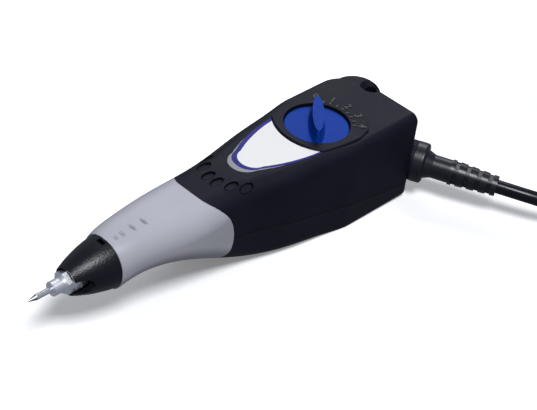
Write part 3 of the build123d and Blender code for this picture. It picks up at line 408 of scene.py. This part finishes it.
def grip_sleeve_rubber():
    """Grey soft rubber, with painted shade in the hollows of its marks."""
    material, tree, shader = start_material("grip_rubber")
    place = object_place(tree)
    broad = noise(tree, place, PATCH_CELLS, PATCH_DETAIL)
    x, y, z = tool_axes(tree)
    # Painted shade in the marks' hollows, laid only on the grip's top
    hollow_shade = 0.0
    for mark_x, length, depth in GRIP_MARKS:
        reach = oval_reach(tree, x, y, (mark_x, GRIP_MARK_Y), (GRIP_MARK_HALF, length / 2))
        hollow_shade = arithmetic(tree, "MAXIMUM", hollow_shade, spread(tree, reach, depth, 0.0, *GRIP_MARK_FADE))
    shade = arithmetic(tree, "MULTIPLY", hollow_shade, spread(tree, z, 0.0, 1.0, *GRIP_TOP))
    colour = overlay(tree, two_tone(tree, broad, GRIP_DARK, GRIP_LIGHT), GRIP_HOLLOW_SHADE, shade)
    set_surface(tree, shader, colour, spread(tree, broad, *GRIP_ROUGH), GRIP_SPECULAR)
    relief(tree, shader, noise(tree, place, GRIP_GRAIN_CELLS, GRAIN_DETAIL), GRIP_RELIEF)
    return material


# Metals

LINE_CELLS = 900
LINE_DETAIL = 3
METAL_PATCH_CELLS = 150
METAL_PATCH_DETAIL = 2

# Darker and lighter tone, range of roughness, stretch of the machining lines, their depth in metres
METALS = {
    "zinc_plate": ((0.88, 0.89, 0.91), (0.92, 0.93, 0.95), (0.34, 0.4), (1, 1, 1), 0.000001),
    "point_steel": ((0.76, 0.76, 0.78), (0.84, 0.84, 0.86), (0.16, 0.26), (8, 1, 1), 0.000003),
    "carbide_grey": ((0.30, 0.30, 0.31), (0.4, 0.4, 0.41), (0.3, 0.42), (6, 1, 1), 0.000008),
    "screw_steel": ((0.82, 0.82, 0.84), (0.88, 0.88, 0.90), (0.16, 0.22), (1, 1, 1), 0.000002),
    "bush_brass": ((0.62, 0.42, 0.16), (0.72, 0.5, 0.22), (0.22, 0.34), (8, 1, 1), 0.000005),
    "pin_brass": ((0.66, 0.58, 0.42), (0.76, 0.68, 0.5), (0.2, 0.3), (1, 1, 1), 0.000004),
    "core_iron": ((0.2, 0.2, 0.21), (0.28, 0.28, 0.29), (0.42, 0.55), (0.05, 0.05, 2), 0.00002),
    "winding_copper": ((0.46, 0.17, 0.07), (0.58, 0.24, 0.1), (0.3, 0.42), (2, 0.05, 0.05), 0.00003),
}


def turned_metal(name, dark, light, rough, stretch, depth):
    """Machined metal: fine lines across the turning axis and a slight change of tone."""
    material, tree, shader = start_material(name)
    lines = noise(tree, object_place(tree, stretch), LINE_CELLS, LINE_DETAIL)
    broad = noise(tree, object_place(tree), METAL_PATCH_CELLS, METAL_PATCH_DETAIL)
    tree.links.new(two_tone(tree, broad, dark, light), shader.inputs["Base Color"])
    tree.links.new(spread(tree, lines, *rough), shader.inputs["Roughness"])
    relief(tree, shader, lines, depth)
    shader.inputs["Metallic"].default_value = 1.0
    return material


# Label: its outline is one arc along each side and one round the tip, in millimetres of the tool's frame

LABEL_REAR_X = -12.3
LABEL_CORNER_Y = 15.1
LABEL_SIDE = (-27.0, 12.8)
LABEL_NOSE = (-43.0, 7.2)
LABEL_TIP_X = -49.6
LABEL_GREY = (0.30, 0.30, 0.31)
LABEL_VIOLET = (0.012, 0.008, 0.20)
LABEL_WHITES = ((0.865, 0.863, 0.86), (0.875, 0.873, 0.87))
# Share of the outline's length and width that a field takes, and its shift to the right
VIOLET_FIELD = (0.93, 1.04, 0.0)
WHITE_FIELD = (0.865, 0.92, 0.38)
PRINT_FADE = 0.04
LABEL_CELLS = 300
LABEL_DETAIL = 2
LABEL_ROUGH = (0.3, 0.36)
LABEL_SPECULAR = 0.1


def circle_through(a, b, c):
    """Centre and radius of the circle through three points of a plane."""
    (ax, ay), (bx, by), (cx, cy) = a, b, c
    d = 2 * (ax * (by - cy) + bx * (cy - ay) + cx * (ay - by))
    a2, b2, c2 = ax * ax + ay * ay, bx * bx + by * by, cx * cx + cy * cy
    ux = (a2 * (by - cy) + b2 * (cy - ay) + c2 * (ay - by)) / d
    uy = (a2 * (cx - bx) + b2 * (ax - cx) + c2 * (bx - ax)) / d
    return (ux, uy), math.hypot(ax - ux, ay - uy)


def make_label_print():
    """White label field with a violet edge that widens to the front and a grey crescent at its tip."""
    material, tree, shader = start_material("label_print")
    x_mm, y_side, _ = tool_axes(tree)
    side_arc = circle_through((LABEL_REAR_X, LABEL_CORNER_Y), LABEL_SIDE, LABEL_NOSE)
    nose_arc = circle_through(LABEL_NOSE, (LABEL_TIP_X, 0), (LABEL_NOSE[0], -LABEL_NOSE[1]))

    def depth_within(x, y, arc):
        centre, radius = arc
        return arithmetic(tree, "SUBTRACT", radius, oval_reach(tree, x, y, centre, (1, 1)))

    def inside(shrink_x, shrink_y, shift):
        back = arithmetic(tree, "SUBTRACT", x_mm, LABEL_REAR_X)
        x = arithmetic(tree, "MULTIPLY_ADD", back, 1 / shrink_x, LABEL_REAR_X)
        aside = arithmetic(tree, "ABSOLUTE", arithmetic(tree, "ADD", y_side, shift))
        y = arithmetic(tree, "DIVIDE", aside, shrink_y)
        behind = arithmetic(tree, "GREATER_THAN", x, LABEL_NOSE[0])
        ahead = arithmetic(tree, "SUBTRACT", 1.0, behind)
        nose = arithmetic(tree, "MULTIPLY", ahead, depth_within(x, y, nose_arc))
        edge = arithmetic(tree, "MULTIPLY_ADD", behind, depth_within(x, y, side_arc), nose)
        return spread(tree, edge, 0.0, 1.0, -PRINT_FADE, PRINT_FADE)

    speckle = noise(tree, object_place(tree), LABEL_CELLS, LABEL_DETAIL)
    border = overlay(tree, LABEL_GREY, LABEL_VIOLET, inside(*VIOLET_FIELD))
    colour = overlay(tree, border, two_tone(tree, speckle, *LABEL_WHITES), inside(*WHITE_FIELD))
    set_surface(tree, shader, colour, spread(tree, speckle, *LABEL_ROUGH), LABEL_SPECULAR)
    return material


finishes = {name: housing_shell(name, *tones) for name, tones in HOUSING_TONES.items()}
finishes.update((name, moulded(name, *looks)) for name, looks in MOULDED.items())
finishes.update((name, turned_metal(name, *looks)) for name, looks in METALS.items())
finishes["grip_rubber"] = grip_sleeve_rubber()
finishes["label_print"] = make_label_print()

dressed_in = {
    "upper_plastic": ["upper_shell"],
    "lower_plastic_painted_reflection": ["lower_shell"],
    "grip_rubber": ["grip_sleeve"],
    "nose_plastic": ["nose_cap"],
    "label_print": ["label_plate"],
    "dial_plastic": ["dial_knob"],
    "inner_plastic": ["stroke_cam", "stroke_stop", "switch_body", "coil_bobbin"],
    "screw_steel": ["dial_clip", "spring_collar", "return_spring", "set_screw", "housing_screws"],
    "core_iron": ["switch_magnet", "armature", "stator_core"],
    "point_steel": ["plunger_shaft", "engraving_point"],
    "bush_brass": ["front_bush"],
    "zinc_plate": ["chuck"],
    "carbide_grey": ["carbide_tip"],
    "winding_copper": ["coil_winding"],
    "cord_rubber": ["inner_leads", "cord", "cord_coil"],
    "boot_rubber": ["strain_relief"],
    "tie_plastic": ["cord_tie"],
    "plug_plastic": ["plug_body"],
    "pin_brass": ["plug_pins"],
}


def dress(piece, finish):
    """One material on the whole piece."""
    piece.data.materials.clear()
    piece.data.materials.append(finishes[finish])


for finish, names in dressed_in.items():
    for name in names:
        dress(nodes[name], finish)
dress(cord, "cord_rubber")


# Return spring: a copy of the solid, attached to the housing

SAME_PLACE = 1e-6


def make_spring():
    """Copy of the return spring, attached to the housing."""
    mesh = nodes["return_spring"].data.copy()
    mesh.name = "driven_spring"
    coil = bmesh.new()
    coil.from_mesh(mesh)
    bmesh.ops.remove_doubles(coil, verts=coil.verts, dist=SAME_PLACE)
    coil.to_mesh(mesh)
    coil.free()
    spring = add_object("driven_spring", mesh)
    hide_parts("return_spring")
    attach(spring, "housing")
    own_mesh(spring)


make_spring()


# Dial scale: raised ticks and plain numbers on the plateau, in metres of the tool's frame

PLATEAU_TOP = 0.0008
SCALE_HEIGHT = 0.0005
SCALE_START = math.radians(45)
SCALE_STEP = math.radians(-11.25)
TICK_COUNT = 9
TICK_RADIUS = 0.0160
TICK_LENGTH = 0.0018
TICK_WIDTH = 0.0010
TICK_DRAFT = 0.3
TICK_END_SHARE = 0.25
NUMBER_COUNT = 5
TICKS_PER_NUMBER = 2
NUMBER_RADIUS = 0.0192
NUMBER_SIZE = 0.0048
NUMBER_WEIGHT = 0.00014
NUMBER_STEPS = 3

TICK_SOCKETS = [
    ("Count", "NodeSocketInt", TICK_COUNT),
    ("Radius", "NodeSocketFloat", TICK_RADIUS),
    ("Length", "NodeSocketFloat", TICK_LENGTH),
    ("Width", "NodeSocketFloat", TICK_WIDTH),
    ("Height", "NodeSocketFloat", SCALE_HEIGHT),
    ("Start", "NodeSocketFloat", SCALE_START),
    ("Step", "NodeSocketFloat", SCALE_STEP),
    ("Draft", "NodeSocketFloat", TICK_DRAFT),
]


def scale_tree():
    """Geometry nodes that set raised ticks at equal steps round an arc."""
    tree = bpy.data.node_groups.new("dial_ticks", "GeometryNodeTree")
    add, link = tree.nodes.new, tree.links.new
    new_socket = tree.interface.new_socket
    new_socket("Geometry", in_out="INPUT", socket_type="NodeSocketGeometry")
    for name, kind, value in TICK_SOCKETS:
        new_socket(name, in_out="INPUT", socket_type=kind).default_value = value
    new_socket("Finish", in_out="INPUT", socket_type="NodeSocketMaterial")
    new_socket("Geometry", in_out="OUTPUT", socket_type="NodeSocketGeometry")
    given, result = add("NodeGroupInput"), add("NodeGroupOutput")

    def compute(operation, *values):
        return arithmetic(tree, operation, *values)

    def vector(**parts):
        node = add("ShaderNodeCombineXYZ")
        for axis, value in parts.items():
            link(value, node.inputs[axis])
        return node.outputs[0]

    # One tick: a bar with drafted sides
    bar = add("GeometryNodeMeshCube")
    link(vector(X=given.outputs["Length"], Y=given.outputs["Width"], Z=given.outputs["Height"]), bar.inputs["Size"])
    place, corner = add("GeometryNodeInputPosition"), add("ShaderNodeSeparateXYZ")
    link(place.outputs[0], corner.inputs[0])
    end_draft = compute("MULTIPLY", given.outputs["Draft"], -TICK_END_SHARE)
    side_draft = compute("MULTIPLY", given.outputs["Draft"], -1.0)
    draw_in = vector(X=compute("MULTIPLY", corner.outputs["X"], end_draft),
                     Y=compute("MULTIPLY", corner.outputs["Y"], side_draft))
    drafted = add("GeometryNodeSetPosition")
    link(bar.outputs["Mesh"], drafted.inputs["Geometry"])
    link(compute("GREATER_THAN", corner.outputs["Z"], 0.0), drafted.inputs["Selection"])
    link(draw_in, drafted.inputs["Offset"])

    # Its places on the arc
    row = add("GeometryNodeMeshLine")
    link(given.outputs["Count"], row.inputs["Count"])
    index = add("GeometryNodeInputIndex")
    angle = compute("MULTIPLY_ADD", index.outputs[0], given.outputs["Step"], given.outputs["Start"])
    spot = vector(X=compute("MULTIPLY", compute("COSINE", angle), given.outputs["Radius"]),
                  Y=compute("MULTIPLY", compute("SINE", angle), given.outputs["Radius"]))
    arc = add("GeometryNodeSetPosition")
    link(row.outputs["Mesh"], arc.inputs["Geometry"])
    link(spot, arc.inputs["Position"])
    copies = add("GeometryNodeInstanceOnPoints")
    link(arc.outputs["Geometry"], copies.inputs["Points"])
    link(drafted.outputs["Geometry"], copies.inputs["Instance"])
    link(vector(Z=angle), copies.inputs["Rotation"])
    real = add("GeometryNodeRealizeInstances")
    link(copies.outputs["Instances"], real.inputs["Geometry"])
    paint = add("GeometryNodeSetMaterial")
    link(real.outputs["Geometry"], paint.inputs["Geometry"])
    link(given.outputs["Finish"], paint.inputs["Material"])
    link(paint.outputs["Geometry"], result.inputs["Geometry"])
    return tree


def plain_mesh(obj, name):
    """Mesh of an object as it is evaluated, without the object's place."""
    bpy.context.view_layer.update()
    graph = bpy.context.evaluated_depsgraph_get()
    mesh = bpy.data.meshes.new_from_object(obj.evaluated_get(graph), depsgraph=graph)
    mesh.name = name
    return mesh


def make_ticks():
    """Ticks beside the dial's travel."""
    ticks = add_object("dial_ticks", bpy.data.meshes.new("dial_ticks_start"))
    tree = scale_tree()
    modifier = ticks.modifiers.new("dial_ticks", "NODES")
    modifier.node_group = tree
    for item in tree.interface.items_tree:
        if item.in_out == "INPUT" and item.name == "Finish":
            modifier[item.identifier] = finishes["mark_plastic"]
    mesh = plain_mesh(ticks, "dial_ticks")
    ticks.modifiers.remove(modifier)
    ticks.data = mesh
    mesh.transform(tool_to_row @ Matrix.Translation((0, 0, PLATEAU_TOP)))
    return ticks


def make_numbers():
    """Raised numbers from 0 up, their feet towards the dial."""
    joined = bmesh.new()
    for value in range(NUMBER_COUNT):
        data = bpy.data.curves.new("number", "FONT")
        data.body = str(value)
        data.align_x = "CENTER"
        data.align_y = "CENTER"
        data.size = NUMBER_SIZE
        data.extrude = SCALE_HEIGHT / 2
        data.offset = NUMBER_WEIGHT
        data.resolution_u = NUMBER_STEPS
        text = add_object("number", data)
        mesh = plain_mesh(text, "number")
        angle = SCALE_START + TICKS_PER_NUMBER * value * SCALE_STEP
        spot = Matrix.Rotation(angle, 4, "Z") @ Matrix.Translation((NUMBER_RADIUS, 0, PLATEAU_TOP))
        mesh.transform(tool_to_row @ spot @ Matrix.Rotation(-QUARTER_TURN, 4, "Z"))
        joined.from_mesh(mesh)
        bpy.data.objects.remove(text)
        bpy.data.meshes.remove(mesh)
        bpy.data.curves.remove(data)
    mesh = bpy.data.meshes.new("dial_numbers")
    joined.to_mesh(mesh)
    joined.free()
    mesh.materials.append(finishes["mark_plastic"])
    return add_object("dial_numbers", mesh)


for mark in (make_ticks(), make_numbers()):
    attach(mark, "housing")


# Stage: the floor, which shows shadow only near the tool, and the light

FLOOR_HALF = 4.0
FLOOR_ROUGH = 0.9
FLOOR_BOUNCE = (0.28, 0.28, 0.28)
FLOOR_GLOSS = (0.25, 0.26, 0.30)
FLOOR_GLOW = (0.2, 1.0)
# Centre and half size of the floor's places under the body, the cord and the coil
SHADOW_ZONES = [
    ((-0.03, 0.0), (0.11, 0.012)),
    ((0.055, -0.045), (0.02, 0.04)),
    ((0.18, -0.058), (0.045, 0.045)),
]
SHADOW_FADE = 0.08


def way_out(tree, place, centre, half):
    """Distance of a place on the floor from a rectangle."""
    square = 0.0
    for axis, middle, reach in zip("XY", centre, half):
        off = arithmetic(tree, "ABSOLUTE", arithmetic(tree, "SUBTRACT", place.outputs[axis], middle))
        past = arithmetic(tree, "MAXIMUM", arithmetic(tree, "SUBTRACT", off, reach), 0.0)
        square = arithmetic(tree, "MULTIPLY_ADD", past, past, square)
    return arithmetic(tree, "SQRT", square)


def make_floor():
    """Large floor: white to the camera, with a glow that grows away from the tool, and grey to all other rays."""
    mesh = bpy.data.meshes.new("studio_floor")
    corners = [(-1, -1), (1, -1), (1, 1), (-1, 1)]
    mesh.from_pydata([(x * FLOOR_HALF, y * FLOOR_HALF, 0) for x, y in corners], [], [(0, 1, 2, 3)])
    floor = add_object("studio_floor", mesh)
    material, tree, shader = start_material("studio_white")
    ray = tree.nodes.new("ShaderNodeLightPath")
    seen = ray.outputs["Is Camera Ray"]
    bounce = overlay(tree, FLOOR_BOUNCE, FLOOR_GLOSS, ray.outputs["Is Glossy Ray"])
    tree.links.new(overlay(tree, bounce, WHITE, seen), shader.inputs["Base Color"])
    shader.inputs["Emission Color"].default_value = (*WHITE, 1)
    place = tree.nodes.new("ShaderNodeSeparateXYZ")
    tree.links.new(object_place(tree), place.inputs[0])
    nearest = FLOOR_HALF
    for zone in SHADOW_ZONES:
        nearest = arithmetic(tree, "MINIMUM", nearest, way_out(tree, place, *zone))
    glow = spread(tree, nearest, *FLOOR_GLOW, 0.0, SHADOW_FADE)
    tree.links.new(arithmetic(tree, "MULTIPLY", seen, glow), shader.inputs["Emission Strength"])
    shader.inputs["Roughness"].default_value = FLOOR_ROUGH
    shader.inputs["Specular IOR Level"].default_value = 0.0
    mesh.materials.append(material)


WORLD_TINT = (0.78, 0.83, 1.0)
WORLD_FILL = 0.1
WORLD_GLOSS = 0.4
LAMP_TINT = (0.955, 0.972, 1.0)
# Place, point that the lamp faces, size in metres and power in watts
SOFTBOXES = {
    "top_box": ((-0.29, -0.44, 1.1), (-0.04, 0, 0.02), 0.38, 11.8),
    "rear_box": ((0.75, 0.6, 0.8), (0, 0, 0.02), 0.6, 3.6),
}


def add_softbox(name, place, target, size, power):
    """Square area lamp that faces a point."""
    data = bpy.data.lights.new(name, "AREA")
    data.shape = "SQUARE"
    data.size = size
    data.energy = power
    data.color = LAMP_TINT
    lamp = add_object(name, data)
    lamp.location = place
    lamp.rotation_euler = (Vector(target) - Vector(place)).to_track_quat("-Z", "Y").to_euler()


def light_studio():
    """White surroundings, dimmer and bluish to all but the camera, a high soft box and a weaker one behind."""
    world = bpy.data.worlds.new("studio")
    scene.world = world
    world.use_nodes = True
    tree = world.node_tree
    ray = tree.nodes.new("ShaderNodeLightPath")
    seen = ray.outputs["Is Camera Ray"]
    shown = arithmetic(tree, "MAXIMUM", seen, ray.outputs["Is Glossy Ray"])
    dimmed = arithmetic(tree, "MULTIPLY_ADD", shown, WORLD_GLOSS - WORLD_FILL, WORLD_FILL)
    strength = arithmetic(tree, "MULTIPLY_ADD", seen, 1.0 - WORLD_GLOSS, dimmed)
    backdrop = tree.nodes["Background"]
    tree.links.new(overlay(tree, WORLD_TINT, WHITE, seen), backdrop.inputs["Color"])
    tree.links.new(strength, backdrop.inputs["Strength"])
    for name, values in SOFTBOXES.items():
        add_softbox(name, *values)


make_floor()
light_studio()

bpy.context.view_layer.update()
